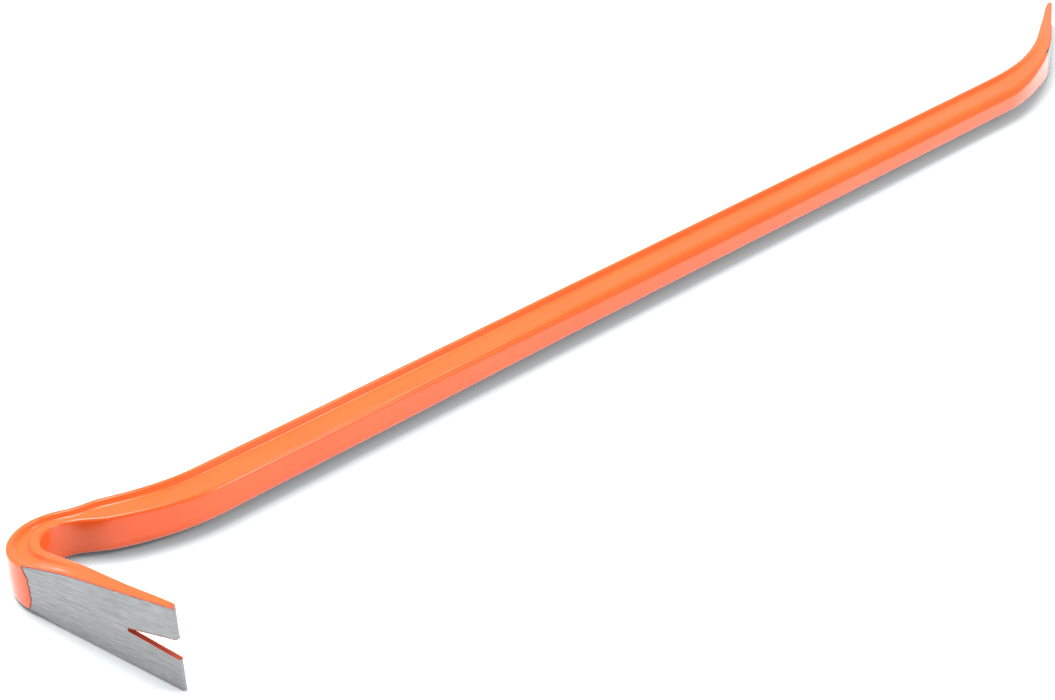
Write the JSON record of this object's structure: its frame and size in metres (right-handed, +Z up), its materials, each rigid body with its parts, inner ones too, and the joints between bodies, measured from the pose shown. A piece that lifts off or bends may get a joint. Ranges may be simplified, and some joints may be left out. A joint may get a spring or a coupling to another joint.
{
  "type": "gooseneck wrecking bar",
  "caption": "Forged steel pry bar with fluted shank, swan neck, hooked claw with a V nail slot, and a bent chisel end, coated but for its ground edges.",
  "frame": {"origin": "middle of the bounding box in plan, on the floor the bar lies on", "axes": "+X along the shank from the claw towards the chisel, +Y towards the heel's convex side, +Z up from the flat side the bar lies on"},
  "size_m": [0.8996, 0.1594, 0.0361],
  "materials": {
    "steel": "ground bright on the claw and chisel bevels, brushed along the bar",
    "coat": "glossy orange powder coat"
  },
  "bodies": {
    "root": {"forged_bar": "steel", "paint_coat": "coat"}
  },
  "joints": []
}
